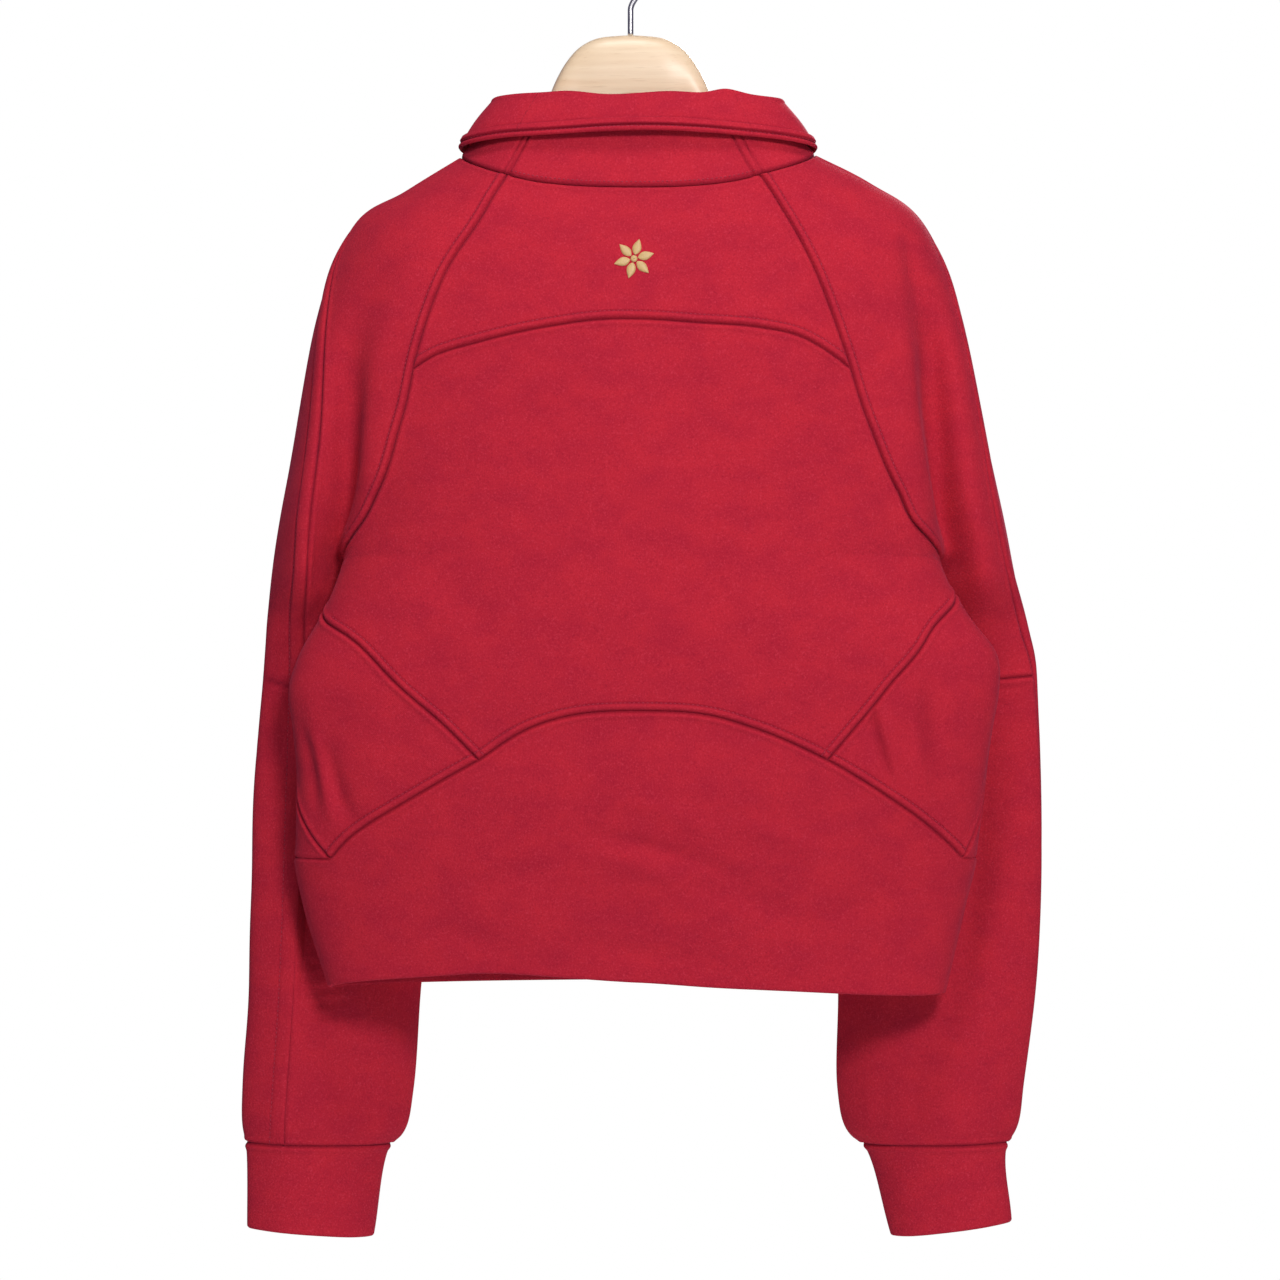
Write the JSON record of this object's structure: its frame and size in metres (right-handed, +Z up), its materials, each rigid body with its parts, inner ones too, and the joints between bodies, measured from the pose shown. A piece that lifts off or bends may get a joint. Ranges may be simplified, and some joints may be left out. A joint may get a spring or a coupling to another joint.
{
  "type": "sweatshirt on a wooden hanger",
  "caption": "Cropped raglan sweatshirt with a folded collar, arched waistband and side gores, hanging on a wooden hanger with its back in view.",
  "frame": {"origin": "inside top of the hook, where it hangs on a rail", "axes": "+Z up against gravity, -Y out of the garment's back, +X to the right as seen from behind the garment"},
  "size_m": [0.5698, 0.1542, 0.9198],
  "materials": {
    "cloth": "matte brushed fleece",
    "wood": "satin lacquer",
    "steel": "satin"
  },
  "bodies": {
    "root": {"back_yoke": "cloth", "back_panel": "cloth", "front_panel": "cloth", "gore_left": "cloth", "gore_right": "cloth", "sleeve_back_upper_left": "cloth", "sleeve_back_upper_right": "cloth", "sleeve_back_lower_left": "cloth", "sleeve_back_lower_right": "cloth", "sleeve_front_left": "cloth", "sleeve_front_right": "cloth", "waistband_back": "cloth", "waistband_front": "cloth", "cuff_left": "cloth", "cuff_right": "cloth", "collar_back": "cloth", "collar_front": "cloth", "hanger_wood": "wood", "hanger_hook": "steel"}
  },
  "joints": []
}
